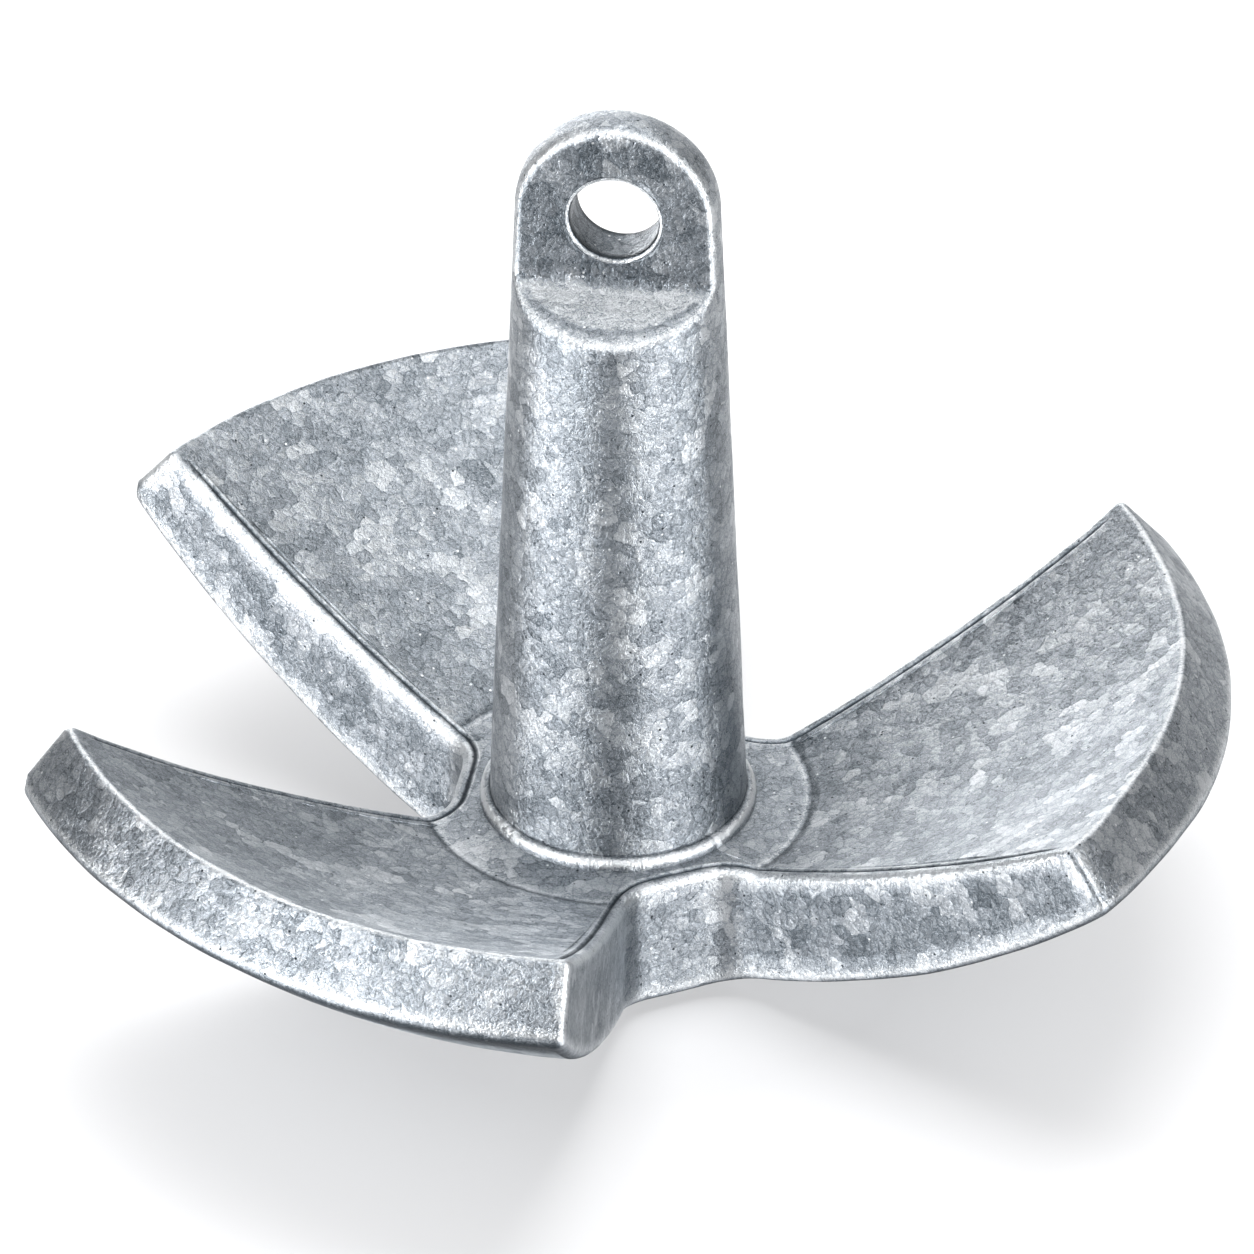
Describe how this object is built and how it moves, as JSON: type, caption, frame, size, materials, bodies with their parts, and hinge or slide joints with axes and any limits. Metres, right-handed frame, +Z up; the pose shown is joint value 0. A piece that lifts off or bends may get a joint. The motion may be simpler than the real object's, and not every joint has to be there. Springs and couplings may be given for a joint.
{
  "type": "river anchor",
  "caption": "Cast iron river anchor with cupped flukes round a thick hub and a tapered shank that ends in a flat tang with a shackle eye.",
  "frame": {"origin": "on the shank's axis, at the flat underside of the foot that the anchor stands on", "axes": "+Z up along the shank to the eye, +X along the middle of one fluke, Y along the bore of the eye"},
  "size_m": [0.2613, 0.2768, 0.2126],
  "materials": {
    "galvanised_iron": "hot-dip galvanised, mottled grey zinc spangle over a cast skin"
  },
  "bodies": {
    "root": {"river_anchor": "galvanised_iron"}
  },
  "joints": []
}
